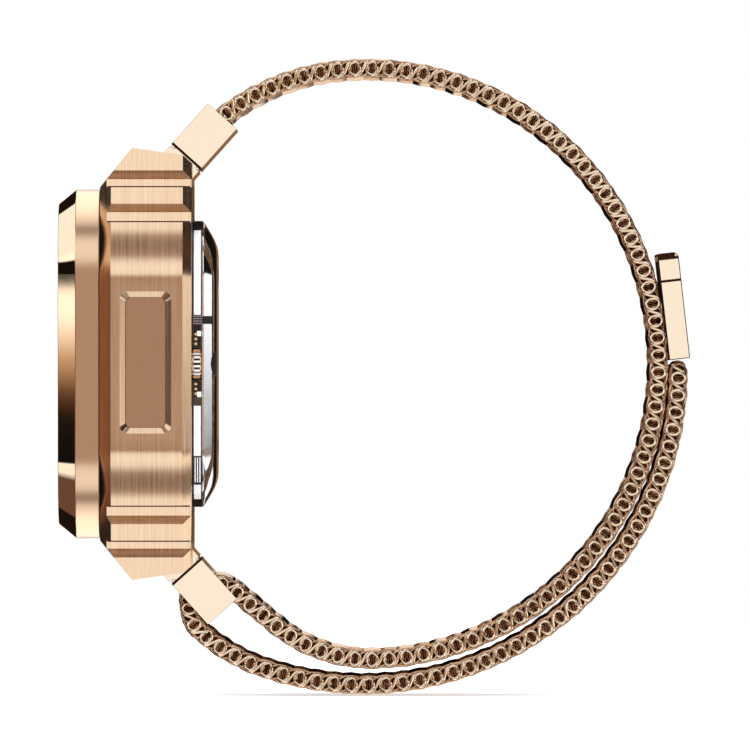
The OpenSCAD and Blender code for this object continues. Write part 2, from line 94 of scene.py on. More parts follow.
def new_material(name, **values):
    """A material with one Principled shader; the values go on its own sockets."""
    m = bpy.data.materials.new(name)
    m.use_nodes = True
    shader = m.node_tree.nodes["Principled BSDF"]
    for key, value in values.items():
        shader.inputs[key.replace("_", " ")].default_value = value
    return m, m.node_tree, shader


def node(tree, kind, **settings):
    """A shader node with some of its settings."""
    n = tree.nodes.new(kind)
    for key, value in settings.items():
        setattr(n, key, value)
    return n


def position(tree, scale=(1, 1, 1)):
    """Object coordinates in metres, times a scale."""
    coords = node(tree, "ShaderNodeTexCoord")
    mapping = node(tree, "ShaderNodeMapping")
    mapping.inputs["Scale"].default_value = scale
    tree.links.new(coords.outputs["Object"], mapping.inputs["Vector"])
    return mapping.outputs["Vector"]


def noise(tree, vector, scale):
    """Noise from 0 to 1 over a vector."""
    n = node(tree, "ShaderNodeTexNoise")
    n.inputs["Scale"].default_value = scale
    n.inputs["Detail"].default_value = 3.0
    n.inputs["Roughness"].default_value = 0.5
    tree.links.new(vector, n.inputs["Vector"])
    return n.outputs["Fac"]


def ramp(tree, value, stops):
    """Colour ramp over a value; each stop is (position, (r, g, b))."""
    r = node(tree, "ShaderNodeValToRGB")
    elements = r.color_ramp.elements
    while len(elements) < len(stops):
        elements.new(1.0)
    for e, (at, colour) in zip(elements, stops):
        e.position = at
        e.color = (*colour, 1.0)
    tree.links.new(value, r.inputs["Fac"])
    return r.outputs["Color"]


def spread(tree, value, low, high):
    """Maps 0..1 to low..high."""
    m = node(tree, "ShaderNodeMapRange")
    m.inputs["To Min"].default_value = low
    m.inputs["To Max"].default_value = high
    tree.links.new(value, m.inputs["Value"])
    return m.outputs["Result"]


def bump(tree, shader, height, distance):
    """Relief of the surface by a height from 0 to 1, over a distance in metres."""
    b = node(tree, "ShaderNodeBump")
    b.inputs["Distance"].default_value = distance
    b.inputs["Strength"].default_value = 1.0
    tree.links.new(height, b.inputs["Height"])
    tree.links.new(b.outputs["Normal"], shader.inputs["Normal"])


def grained(tree, shader, vector, grain, low, high, rough, depth):
    """Lets colour, roughness and relief vary together with one noise."""
    value = noise(tree, vector, grain)
    tree.links.new(ramp(tree, value, [(0.3, low), (0.7, high)]), shader.inputs["Base Color"])
    tree.links.new(spread(tree, value, *rough), shader.inputs["Roughness"])
    if depth:
        bump(tree, shader, value, depth)


def metal(name, low, high, rough, grain, stretch=(1, 1, 1), depth=0.0):
    """Metal whose colour and roughness vary between two values with a stretched grain."""
    m, tree, shader = new_material(name, Metallic=1.0)
    grained(tree, shader, position(tree, stretch), grain, low, high, rough, depth)
    return m


def plain(name, low, high, rough, grain, depth=0.0, **values):
    """Non-metal with a fine mottling and an even relief."""
    m, tree, shader = new_material(name, **values)
    grained(tree, shader, position(tree), grain, low, high, rough, depth)
    return m


# Each finish: name, two colours, range of roughness, fineness of the grain, and extras
MATERIALS = {
    # Rose gold of the bezel, case, key and links; the links take a paler base colour than the case, as
    # painted light
    "rose_satin": metal(
        "bezel_metal", (0.80, 0.54, 0.345), (0.86, 0.595, 0.39), (0.26, 0.32), 9000, depth=3e-6),
    "rose_mirror": metal(
        "bezel_polish", (0.90, 0.67, 0.46), (0.92, 0.69, 0.48), (0.012, 0.02), 900),
    "rose_brushed": metal(
        "brushed_case", (0.77, 0.51, 0.325), (0.91, 0.65, 0.435), (0.20, 0.28), 60, (2, 90, 2), 1e-6),
    "rose_blasted": metal(
        "blasted_key", (0.64, 0.40, 0.25), (0.72, 0.46, 0.29), (0.32, 0.40), 9000, depth=4e-6),
    "rose_polished": metal(
        "polished_link_painted_light", (0.93, 0.74, 0.54), (0.95, 0.77, 0.57), (0.08, 0.12), 3000),
    # Wires of the mesh: a paler copy of the wire metal for the end rings and crossings as painted
    # highlight, a darker copy for the narrow coils as painted shade, and a near-black slab inside as
    # painted shade
    "mesh_wire": metal("mesh_wire", (0.52, 0.30, 0.18), (0.80, 0.55, 0.36), (0.08, 0.14), 900),
    "mesh_ring_highlight": metal("mesh_ring_highlight", (0.95, 0.74, 0.53), (1.0, 0.85, 0.65), (0.06, 0.12), 900),
    "mesh_inner_shade": metal(
        "mesh_inner_shade", (0.26, 0.115, 0.055), (0.50, 0.27, 0.15), (0.15, 0.25), 1500),
    "mesh_core_shade": metal("mesh_core_shade", (0.02, 0.008, 0.004), (0.20, 0.08, 0.035), (0.4, 0.5), 1800),
    # Other metals
    "rail_metal": metal("rail_metal", (0.12, 0.10, 0.09), (0.24, 0.20, 0.18), (0.25, 0.4), 2500),
    "copper": metal("copper_ring", (0.72, 0.40, 0.22), (0.82, 0.50, 0.30), (0.15, 0.25), 2500),
    "steel": metal("satin_steel", (0.50, 0.50, 0.52), (0.66, 0.66, 0.68), (0.22, 0.34), 2500),
    # Near-black metal that stands in for shade: painted shade on the rounded edges of the links and
    # clasp, painted shadow lines in the case grooves and painted shade bands on the links and clasp
    "edge_line": metal(
        "painted_shade_edge", (0.04, 0.016, 0.008), (0.08, 0.034, 0.017), (0.3, 0.4), 3000),
    "wheel_silver": plain(
        "wheel_silver", (0.86, 0.86, 0.87), (0.93, 0.93, 0.93), (0.2, 0.3), 3000, Coat_Weight=0.5),
    "polished_steel": metal(
        "mirror_steel", (0.80, 0.80, 0.82), (0.84, 0.84, 0.86), (0.04, 0.08), 600),
    "tub_aluminium": metal(
        "tub_aluminium", (0.45, 0.45, 0.47), (0.60, 0.60, 0.62), (0.3, 0.4), 2500),
    "battery_foil": metal(
        "battery_foil", (0.28, 0.28, 0.30), (0.40, 0.40, 0.42), (0.3, 0.5), 1200, depth=8e-6),
    "tungsten": metal("tungsten", (0.25, 0.25, 0.27), (0.35, 0.35, 0.37), (0.3, 0.45), 2000),
    "gold_pins": metal("gold_pins", (0.80, 0.55, 0.20), (0.90, 0.66, 0.30), (0.12, 0.2), 3000),
    "magnet": metal("nickel_magnet", (0.50, 0.49, 0.46), (0.62, 0.61, 0.58), (0.18, 0.28), 1500),
    # Rubber, plastic, ceramic and glass
    "rubber": plain(
        "black_rubber", (0.018, 0.018, 0.018), (0.035, 0.034, 0.033), (0.6, 0.8), 3000, 6e-6),
    "black_plastic": plain(
        "black_plastic", (0.008, 0.008, 0.009), (0.02, 0.02, 0.022), (0.25, 0.4), 4000, 2e-6, IOR=1.3),
    "white_plastic": plain(
        "white_inlay", (0.93, 0.93, 0.93), (0.97, 0.97, 0.97), (0.15, 0.25), 1500, 1e-6),
    "circuit_board": plain(
        "circuit_board", (0.010, 0.07, 0.035), (0.03, 0.14, 0.08), (0.3, 0.5), 1500, 3e-6),
    "led_lens": plain("led_lens", (0.20, 0.45, 0.28), (0.30, 0.60, 0.36), (0.05, 0.12), 2000),
    "ferrite": plain("ferrite", (0.05, 0.05, 0.055), (0.09, 0.09, 0.10), (0.6, 0.8), 3000, 4e-6),
    "display_glass": plain(
        "display_glass", (0.004, 0.004, 0.005), (0.008, 0.008, 0.010), (0.04, 0.08), 400, IOR=1.4),
    "window_glass": plain(
        "window_glass", (0.005, 0.005, 0.007), (0.012, 0.012, 0.015), (0.03, 0.06), 500,
        Coat_Weight=1.0, Coat_Roughness=0.02),
}

slot_of = {s["node"]: s["material_slot"] for s in frame["record"]["subparts"]}
for name, obj in nodes.items():
    obj.data.materials.clear()
    obj.data.materials.append(MATERIALS[slot_of[name]])

# ---- Course of the band, as in the design ----


def stretch_length(stretch):
    """Length of one stretch in millimetres."""
    return stretch[1] if stretch[0] == 0 else stretch[0] * math.radians(abs(stretch[1]))


def pose_along(pose, stretch, d):
    """Pose (y, z, heading) after the distance d along one stretch (radius, turn) or (0, length)."""
    y, z, h = pose
    radius, turn = stretch
    if radius == 0:
        return y + d * math.cos(h), z + d * math.sin(h), h
    side = math.copysign(1, turn)
    new = h + side * d / radius
    y += radius * side * (math.sin(new) - math.sin(h))
    z -= radius * side * (math.cos(new) - math.cos(h))
    return y, z, new


class Course:
    """A path of straight and round stretches, seen from the side."""

    def __init__(self, start, stretches):
        self.starts, self.marks, self.stretches = [start], [0.0], stretches
        for s in stretches:
            self.starts.append(pose_along(self.starts[-1], s, stretch_length(s)))
            self.marks.append(self.marks[-1] + stretch_length(s))

    def at(self, d):
        """Pose after the distance d."""
        last = len(self.stretches) - 1
        i = next((k for k in range(last) if d <= self.marks[k + 1]), last)
        return pose_along(self.starts[i], self.stretches[i], d - self.marks[i])

    def point(self, d):
        """Point of the path in metres."""
        y, z, _ = self.at(d)
        return (0, y * MM, z * MM)


# Stretches of the band as (radius, turn in degrees), or (0, length) where it is straight
LOOP = [(28, -33), (36, -55), (37.2, -80), (36, -48), (19, -42), (0, 6.2)]
FOLD = [(4.97, 48), (2.23, 87)]
TAIL = [(0, 1), (4, 43), (22.7, 23.5), (39.2, 40.4), (39, 70)]
loop_length = sum(stretch_length(s) for s in LOOP)
fold_length = sum(stretch_length(s) for s in FOLD)
BAND_START = (0.7, 30.8, math.radians(38))
band = Course(BAND_START, LOOP + FOLD + TAIL)
tail_start = loop_length + fold_length
band_length = band.marks[-1]

# ---- Woven mesh: one flattened wire coil per row, neighbouring rows wound opposite ways ----

ROW_PITCH = 2.142
FIRST_ROW = 0.6
MESH_WIDTH = 22
# Wide coil of each row: wire, half size along and out, squareness, pitch, and room at its ends
WIRE_R = 0.19
WIRE_SIDES = 5
COIL_HALF = (1.75, 1.06)
COIL_SQUARE = 0.8
COIL_STEP = 0.9
COIL_INSET = 0.55
STEPS_PER_TURN = 12
# Narrow coil between two rows
INNER_R = 0.15
INNER_SIDES = 4
INNER_HALF = (0.98, 0.80)
INNER_INSET = 1.45
# Dark slab inside the mesh, painted shade seen through the gaps between the wires: half thickness, room
# at the edges of the band, and length of its facets
CORE_HALF = 0.62
CORE_INSET = 2.4
CORE_FACET = 1.0
CORE_START = 0.3
# End rings and the wires that cross over between them
RING_R = 0.18
RING_SIDES = 8
RING_HALF = (0.66, 0.82)
RING_LEAN = 0.16
RING_STEPS = 24
CROSSING_INSET = 0.42
CROSSING_ROOM = 0.42
CROSSING_HALF = 0.84
CROSSING_STEPS = 9


def coil_line(flip, half, inset, shift):
    """Centre line of a coil as (across, along, out) in millimetres."""
    reach = MESH_WIDTH / 2 - inset
    turns = round(2 * reach / COIL_STEP)
    t = np.linspace(0, turns * 2 * math.pi, turns * STEPS_PER_TURN + 1)
    across = -reach + 2 * reach * t / t[-1]
    c, n = np.cos(t * flip + math.pi / 2), np.sin(t * flip + math.pi / 2)
    along = half[0] * np.sign(c) * np.abs(c) ** COIL_SQUARE
    out = half[1] * np.sign(n) * np.abs(n) ** COIL_SQUARE
    return np.stack([across, shift + along, out], 1)


def ring_line(side, flip):
    """Closed end ring of a row at one edge of the band, leaning slightly."""
    t = np.linspace(0, 2 * math.pi, RING_STEPS, endpoint=False)
    across = side * (MESH_WIDTH / 2 - RING_R - RING_LEAN + RING_LEAN * np.cos(t * flip))
    return np.stack([across, RING_HALF[0] * np.cos(t), RING_HALF[1] * np.sin(t)], 1)


def crossing_line(side):
    """Wire that crosses over at one edge of the band, from one row down to the next."""
    t = np.linspace(0, 1, CROSSING_STEPS)
    across = np.full(CROSSING_STEPS, side * (MESH_WIDTH / 2 - CROSSING_INSET))
    along = CROSSING_ROOM + (ROW_PITCH - 2 * CROSSING_ROOM) * t
    return np.stack([across, along, CROSSING_HALF * np.sin(math.pi * (t - 0.5))], 1)


def tube(line, closed, radius, sides):
    """Vertices and quads of a round wire along a line of points, in millimetres."""
    if closed:
        ahead = np.roll(line, -1, 0) - np.roll(line, 1, 0)
    else:
        ahead = np.gradient(line, axis=0)
    ahead /= np.linalg.norm(ahead, axis=1)[:, None]
    side = np.cross(ahead, (1.0, 0, 0))
    side /= np.linalg.norm(side, axis=1)[:, None]
    up = np.cross(side, ahead)
    a = np.arange(sides) * 2 * math.pi / sides
    ring = side[:, None, :] * np.cos(a)[None, :, None] + up[:, None, :] * np.sin(a)[None, :, None]
    verts = (line[:, None, :] + radius * ring).reshape(-1, 3)
    count = len(line)
    k = np.arange(count if closed else count - 1)[:, None]
    j = np.arange(sides)[None, :]
    k2, j2 = (k + 1) % count, (j + 1) % sides
    quads = np.stack([k * sides + j, k * sides + j2, k2 * sides + j2, k2 * sides + j], -1).reshape(-1, 4)
    return verts, quads


def row_shape(flip):
    """One row: a wide coil, a narrow one between it and the next row, two end rings and two crossing
    wires. Each face has a tone: 0 for the wide coil, 1 for the narrow one, which takes a darker copy of
    the wire metal as painted shade, 2 at the ends, which take a paler copy as painted highlight."""
    wide = coil_line(flip, COIL_HALF, COIL_INSET, 0)
    narrow = coil_line(-flip, INNER_HALF, INNER_INSET, ROW_PITCH / 2)
    lines = [(wide, False, WIRE_R, WIRE_SIDES), (narrow, False, INNER_R, INNER_SIDES)]
    lines += [(ring_line(side, flip), True, RING_R, RING_SIDES) for side in (-1, 1)]
    lines += [(crossing_line(side), False, WIRE_R, RING_SIDES) for side in (-1, 1)]
    verts, quads, tone, base = [], [], [], 0
    for i, (line, closed, radius, sides) in enumerate(lines):
        v, q = tube(line, closed, radius, sides)
        verts.append(v)
        quads.append(q + base)
        tone.append(np.full(len(q), min(i, 2)))
        base += len(v)
    return np.concatenate(verts), np.concatenate(quads), np.concatenate(tone)


ROWS = [row_shape(1), row_shape(-1)]


def new_mesh(name, verts, faces, smooth=True):
    """A mesh object in the scene."""
    data = bpy.data.meshes.new(name)
    data.from_pydata([tuple(v) for v in verts], [], [tuple(f) for f in faces])
    data.update()
    obj = bpy.data.objects.new(name, data)
    bpy.context.scene.collection.objects.link(obj)
    if smooth:
        data.polygons.foreach_set("use_smooth", [True] * len(data.polygons))
    return obj


def row_place(k):
    """Distance along the band of the middle of row k."""
    return FIRST_ROW + k * ROW_PITCH


def placed_on_band(points, d):
    """Points (across, along, out) about the place at distance d, as (x, y, z) in metres."""
    y, z, h = band.at(d)
    along, out = points[:, 1], points[:, 2]
    placed = np.stack([
        points[:, 0],
        y + along * math.cos(h) - out * math.sin(h),
        z + along * math.sin(h) + out * math.cos(h)], 1)
    return placed * MM


def mesh_piece(name, start, end):
    """All rows of the band whose middle lies between two distances along it."""
    verts, quads, tone, base = [], [], [], 0
    for k in range(int(band_length / ROW_PITCH) + 1):
        if start <= row_place(k) < end:
            v, q, row_tone = ROWS[k % 2]
            verts.append(placed_on_band(v, row_place(k)))
            quads.append(q + base)
            tone.append(row_tone)
            base += len(v)
    obj = new_mesh(name, np.concatenate(verts), np.concatenate(quads))
    # Tone 1 is painted shade and tone 2 painted highlight: darker and paler copies of the same wire
    # metal
    for wire in ("mesh_wire", "mesh_inner_shade", "mesh_ring_highlight"):
        obj.data.materials.append(MATERIALS[wire])
    obj.data.polygons.foreach_set("material_index", np.concatenate(tone).astype(np.int32))
    return obj


def shade_core_piece(name, start, end):
    """Near-black slab inside the mesh between two distances along the band, painted shade seen through
    the gaps between the wires.
    """
    count = max(2, math.ceil((end - start) / CORE_FACET))
    half_width = MESH_WIDTH / 2 - CORE_INSET
    corners = np.array([
        (-half_width, 0, -CORE_HALF), (half_width, 0, -CORE_HALF),
        (half_width, 0, CORE_HALF), (-half_width, 0, CORE_HALF)])
    verts = np.concatenate([
        placed_on_band(corners, start + (end - start) * k / count) for k in range(count + 1)])
    quads = [(3, 2, 1, 0), tuple(4 * count + j for j in range(4))]
    for k in range(count):
        a, b = 4 * k, 4 * k + 4
        quads += [(a + j, a + (j + 1) % 4, b + (j + 1) % 4, b + j) for j in range(4)]
    obj = new_mesh(name, verts, quads, smooth=False)
    obj.data.materials.append(MATERIALS["mesh_core_shade"])
    return obj


def bending_piece(name, start, end, hinge, replaced):
    """A stretch of mesh about one flex joint of the band, with its slab of painted shade, in place of
    one CAD part; both are baked where they lie and attached to no body.
    """
    piece = mesh_piece(name, start, end)
    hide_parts(replaced)
    low, high = band.point(hinge - FLEX_REACH), band.point(hinge + FLEX_REACH)
    for part in (piece, shade_core_piece(name + "_core", max(start, CORE_START), end)):
        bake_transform(part)


# Places of the flex joints along the band, and the cuts between the pieces about them
FLEX_REACH = 5
FLEX = [12, 26, 40, 54]
TAIL_FLEX = [tail_start + d for d in (24, 40, 56, 72)]
cuts = [-1] + [f + 7 for f in FLEX]
tail_cuts = [tail_start + 17] + [f + 8 for f in TAIL_FLEX]

for i, hinge in enumerate(FLEX):
    bending_piece(f"mesh_flex_{i + 1}", cuts[i], cuts[i + 1], hinge,
                  f"mesh_{i + 1}")

half_main = (cuts[-1] + tail_cuts[0]) / 2
for name, start, end, replaced in (
        ("mesh_run", cuts[-1], half_main, ["mesh_main"]),
        ("mesh_turn", half_main, tail_cuts[0], ["mesh_fold", "mesh_tail_root"])):
    piece = mesh_piece(name, start, end)
    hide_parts(*replaced)
    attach(piece, "strap_main")
    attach(shade_core_piece(name + "_core", start, end), "strap_main")

for i, hinge in enumerate(TAIL_FLEX):
    bending_piece(f"tail_flex_{i + 1}", tail_cuts[i], tail_cuts[i + 1], hinge,
                  f"tail_{i + 1}")

# The end of the tail is stiff and leaves room for the clasp to turn
ROOM_PAST_ROWS = 1.75
ROOM_PAST_CORE = 0.2
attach(mesh_piece("tail_end", tail_cuts[-1], band_length - ROOM_PAST_ROWS), "tail_4")
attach(shade_core_piece("tail_end_core", tail_cuts[-1], band_length - ROOM_PAST_CORE), "tail_4")

# ---- Lofted bezel and back shell ----

OUTLINE_STEPS = 16
FLAT_POINT = 0.1


def rounded_outline(width, height, radius):
    """Points of a rectangle with round corners, as (x, z), with a point on the straight
    sides close to each end of the corners, so that the flats shade flat."""
    points = []
    for corner, (sx, sz) in enumerate(((1, 1), (-1, 1), (-1, -1), (1, -1))):
        for k in range(-1, OUTLINE_STEPS + 2):
            a = math.radians(90 * corner + 90 * min(max(k, 0), OUTLINE_STEPS) / OUTLINE_STEPS)
            x = sx * (width / 2 - radius) + radius * math.cos(a)
            z = sz * (height / 2 - radius) + radius * math.sin(a)
            past = FLAT_POINT * (min(k, 0) + max(k - OUTLINE_STEPS, 0))
            points.append((x - past * math.sin(a), z + past * math.cos(a)))
    return points


def onto_circle(outline, radius):
    """The points of an outline moved along their rays onto a circle."""
    return [(x * radius / math.hypot(x, z), z * radius / math.hypot(x, z)) for x, z in outline]


def round_edges(obj, width, segments=2):
    """Rounds the sharp edges a little, so that they catch the light."""
    bevel = obj.modifiers.new("bevel", "BEVEL")
    bevel.width = width * MM
    bevel.segments = segments
    bevel.limit_method = "ANGLE"
    bevel.angle_limit = math.radians(25)
    bevel.harden_normals = True


def dress(obj, finish, body):
    """Gives a new piece its finish and the body that it rides."""
    obj.data.materials.append(MATERIALS[finish])
    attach(obj, body)
    return obj


def loft(name, sections):
    """Closed skin over outlines, each (depth y, points), going once round the cross-section."""
    verts = [(x * MM, y * MM, z * MM) for y, outline in sections for x, z in outline]
    n = len(sections[0][1])
    faces = []
    for i in range(len(sections)):
        a, b = i * n, ((i + 1) % len(sections)) * n
        faces += [(a + k, a + (k + 1) % n, b + (k + 1) % n, b + k) for k in range(n)]
    obj = new_mesh(name, verts, faces)
    bm = bmesh.new()
    bm.from_mesh(obj.data)
    bmesh.ops.recalc_face_normals(bm, faces=bm.faces)
    bm.to_mesh(obj.data)
    bm.free()
    return obj


# Bezel, with depths along Y: back, start of the chamfer, front, and back of the lip over the glass
BEZEL_BACK, CHAMFER_BACK, BEZEL_FRONT, LIP_BACK = -14.6, -17.5, -19.7, -18.6
CHAMFER_INSET = 1.8
POCKET_GROWTH = 2.8


def bezel_section(y, inset):
    """Outer outline of the bezel at one depth."""
    return y, rounded_outline(38 - 2 * inset, 43.4 - 2 * inset, 10.5 - inset)


def opening_section(y, growth):
    """Outline of the opening of the bezel at one depth."""
    return y, rounded_outline(31.4 + growth, 36.8 + growth, 7.6 + growth / 2)


bezel = loft("bezel_ring", [
    bezel_section(BEZEL_BACK, 0), bezel_section(CHAMFER_BACK, 0),
    bezel_section(BEZEL_FRONT, CHAMFER_INSET), opening_section(BEZEL_FRONT, 0),
    opening_section(LIP_BACK, 0), opening_section(LIP_BACK, POCKET_GROWTH),
    opening_section(BEZEL_BACK, POCKET_GROWTH)])
dress(bezel, "rose_satin", "case")
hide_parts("bezel")
bezel.data.materials.append(MATERIALS["rose_mirror"])
for face in bezel.data.polygons:
    between = (BEZEL_FRONT + 0.05) * MM < face.center.y < (CHAMFER_BACK - 0.05) * MM
    if between and face.normal.y < -0.3:
        face.material_index = 1
round_edges(bezel, 0.09, 3)

# Back shell, which curves more softly over its ends than over its sides: (y, inset in X, inset in Z)
DOME = [
    (-1.85, 0, 0), (-1.5, 0.2, 0.5), (-1.1, 0.47, 1.15), (-0.72, 0.78, 1.8), (-0.42, 1.1, 2.4),
    (-0.2, 1.55, 3.0), (-0.07, 2.3, 3.5), (0, 4.1, 4.1)]
WINDOW_R = 11.05
WINDOW_DEPTH = -1.0
dome = [(y, rounded_outline(31 - 2 * ix, 35.6 - 2 * iz, 7 - (ix + iz) / 2)) for y, ix, iz in DOME]
window_edge = onto_circle(dome[-1][1], WINDOW_R)
back_dome = loft("back_dome", dome + [
    (0, window_edge), (WINDOW_DEPTH, window_edge), (DOME[0][0], window_edge)])
dress(back_dome, "polished_steel", "case")
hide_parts("back_shell")

# ---- Small parts along the rail and in the grooves ----

BOX_FACES = ((0, 2, 3, 1), (4, 5, 7, 6), (0, 1, 5, 4), (2, 6, 7, 3), (0, 4, 6, 2), (1, 3, 7, 5))


def boxes(name, corners, finish):
    """Several blocks on the case in one piece, each given by two corners in millimetres."""
    verts, faces = [], []
    for a, b in corners:
        base = len(verts)
        verts += [((a[0], b[0])[i & 1] * MM, (a[1], b[1])[i >> 1 & 1] * MM, (a[2], b[2])[i >> 2] * MM)
                  for i in range(8)]
        faces += [tuple(base + k for k in f) for f in BOX_FACES]
    obj = new_mesh(name, verts, faces, smooth=False)
    # They are added to the case and take no CAD part's place
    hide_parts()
    return dress(obj, finish, "case")


# Outer face of the rail, which these parts sit on
SIDE = 15.5
boxes("vent_slot", [((14.0, -1.8, 4.95), (SIDE - 0.02, -0.6, 5.95))], "black_plastic")
boxes("vent_bars", [((14.8, -2.95, z), (SIDE + 0.06, -1.8, z + 0.16)) for z in (4.95, 5.25, 5.55, 5.85)],
      "steel")
boxes("vent_floor", [((14.8, -2.9, 4.9), (SIDE + 0.02, -1.85, 6.08))], "black_plastic")
boxes("grille_floor", [((14.0, -2.9, -14.9), (SIDE + 0.02, -1.9, -11.5))],
      "black_plastic")
boxes("grille_bars", [((14.0, y, -14.7), (SIDE + 0.08, y + 0.12, -11.6)) for y in (-2.75, -2.45, -2.15)],
      "white_plastic")
boxes("wheel_stops", [((15.0, -2.95, z), (SIDE + 0.1, -2.05, z + 0.26)) for z in (1.5, -1.76)],
      "copper")
boxes("marker_tabs", [((14.8, -2.45, z), (SIDE + 0.15, -1.95, z + 0.65)) for z in (3.45, -4.1)],
      "white_plastic")

# Shadow lines at the foot of the walls of the grooves, each (place z, face x), on all four ends
GROOVE_FEET = ((17.55, 17.985), (21.9, 16.68))
boxes("groove_lines", [
    ((sx * (x - 0.3), -13.6, sz * z), (sx * (x + 0.03), -3.3, sz * (z + 0.16)))
    for sx in (-1, 1) for sz in (-1, 1) for z, x in GROOVE_FEET], "edge_line")

# Dark round lens low on the side of the back shell
LENS_AT = (13.7, -0.05, 0)
LENS_HALF = (1.15, 0.85, 1.5)
LENS_RINGS = 16
LENS_TOP = -0.02


def lens_piece():
    """Flattened ball, cut level with the back."""
    round_steps = 2 * LENS_RINGS
    verts, faces = [], []
    for i in range(LENS_RINGS + 1):
        for k in range(round_steps):
            a, b = math.pi * i / LENS_RINGS, math.pi * k / LENS_RINGS
            verts.append((
                (LENS_AT[0] + LENS_HALF[0] * math.sin(a) * math.cos(b)) * MM,
                min(LENS_AT[1] + LENS_HALF[1] * math.sin(a) * math.sin(b), LENS_TOP) * MM,
                (LENS_AT[2] + LENS_HALF[2] * math.cos(a)) * MM))
    for i in range(LENS_RINGS):
        for k in range(round_steps):
            a, b = i * round_steps, (k + 1) % round_steps
            faces.append((a + k, a + b, a + b + round_steps, a + k + round_steps))
    return new_mesh("back_lens", verts, faces)


dress(lens_piece(), "black_plastic", "case")

# ---- Thumb wheel: bright teeth round a dark drum ----

WHEEL_X = 14.3
DRUM_R, DRUM_STEPS, DRUM_Y = 1.66, 48, (-2.84, -2.11)
TEETH = 20
TOOTH_Y = (-2.85, -2.1)
# Corners of a tooth seen along the axle: radius, and angle off its middle in radians
TOOTH = ((1.5, -0.075), (1.85, -0.07), (1.85, 0.07), (1.5, 0.075))


def on_wheel(radius, angle, y):
    """Point at a radius and an angle about the axle, in metres."""
    return (WHEEL_X + radius * math.cos(angle)) * MM, y * MM, radius * math.sin(angle) * MM


def wheel_drum():
    """Round drum under the teeth."""
    n = DRUM_STEPS
    verts = [on_wheel(DRUM_R, 2 * math.pi * k / n, y) for y in DRUM_Y for k in range(n)]
    faces = [(k, (k + 1) % n, n + (k + 1) % n, n + k) for k in range(n)]
    faces += [tuple(reversed(range(n))), tuple(range(n, 2 * n))]
    return new_mesh("wheel_drum", verts, faces, smooth=False)


def wheel_teeth():
    """All teeth of the wheel in one piece."""
    verts, faces = [], []
    for k in range(TEETH):
        base = len(verts)
        middle = 2 * math.pi * (k + 0.5) / TEETH
        verts += [on_wheel(r, middle + turn, y) for y in TOOTH_Y for r, turn in TOOTH]
        faces += [tuple(base + i for i in f) for f in
                  ((0, 1, 2, 3), (7, 6, 5, 4), (0, 4, 5, 1), (1, 5, 6, 2), (2, 6, 7, 3), (3, 7, 4, 0))]
    return new_mesh("wheel_teeth", verts, faces, smooth=False)


dress(wheel_drum(), "black_plastic", "crown")
teeth = dress(wheel_teeth(), "wheel_silver", "crown")
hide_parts("crown_wheel")

# ---- CAD parts with clean, softly rounded edges ----


def finished_copy(name, body, width, edge_shade_material=None):
    """Copy of a CAD part with its flats joined up and its sharp edges rounded; an edge shade material
    paints the rounded edges near black, as painted shade along the edges.
    """
    source = nodes[name]
    data = source.data.copy()
    bm = bmesh.new()
    bm.from_mesh(data)
    bmesh.ops.remove_doubles(bm, verts=bm.verts, dist=1e-6)
    bmesh.ops.dissolve_limit(bm, angle_limit=math.radians(0.4), verts=bm.verts, edges=bm.edges)
    for edge in bm.edges:
        edge.smooth = edge.calc_face_angle(0) < math.radians(22)
    for face in bm.faces:
        face.smooth = True
    bm.to_mesh(data)
    bm.free()
    obj = bpy.data.objects.new(name + "_finish", data)
    bpy.context.scene.collection.objects.link(obj)
    obj.matrix_world = source.matrix_world.copy()
    round_edges(obj, width)
    if edge_shade_material:
        data.materials.append(MATERIALS[edge_shade_material])
        obj.modifiers["bevel"].material = 1
    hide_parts(name)
    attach(obj, body)


finished_copy("mid_case", "case", 0.09)
finished_copy("side_key", "key", 0.06)
finished_copy("side_blank", "case", 0.06)
finished_copy("core_rail", "case", 0.04)
# The links and the clasp have their rounded edges painted near black, painted shade along the edges
for name, body in (("end_link", "strap_1"), ("buckle_frame", "strap_main"), ("clasp_shell", "clasp")):
    finished_copy(name, body, 0.11, "edge_line")

# ---- Painted shade: near-black bands round the links and the clasp, in their grooves, crease and tip ----

# Place (y, z) and slope of the top link and the clasp, and half sizes of the bands
LINK_AT, LINK_SLOPE = (-1.62, 28.26), math.radians(48.2)
CLASP_AT, CLASP_SLOPE = (57.5, 0.6), math.radians(96.4)
BAND_HALF_WIDTH = 12.015
LINK_OUT = (-2.415, 2.415)
CLASP_OUT = 1.29


def painted_shade_band(name, origin, heading, along, out, body, mirror=1):
    """Thin near-black sleeve on a slanted part between two distances along it and across it, painted
    shade.
    """
    verts = []
    for x in (-BAND_HALF_WIDTH, BAND_HALF_WIDTH):
        for a in along:
            for o in out:
                y = origin[0] + a * math.cos(heading) - o * math.sin(heading)
                z = origin[1] + a * math.sin(heading) + o * math.cos(heading)
                verts.append((x * MM, y * MM, mirror * z * MM))
    dress(new_mesh(name, verts, BOX_FACES, smooth=False), "edge_line", body)


painted_shade_band("top_link_groove", LINK_AT, LINK_SLOPE, (-3.4, -3.08), LINK_OUT, "strap_1")
painted_shade_band("bottom_link_groove", LINK_AT, LINK_SLOPE, (-3.4, -3.08), LINK_OUT, "strap_main", -1)
for name, along, inner in (
        ("clasp_crease", (9.66, 9.98), -CLASP_OUT), ("clasp_tip", (12.45, 12.8), -CLASP_OUT),
        ("clasp_tip_edge", (12.8, 13.28), -0.85)):
    painted_shade_band(name, CLASP_AT, CLASP_SLOPE, along, (inner, CLASP_OUT), "clasp")

# ---- Floor ----

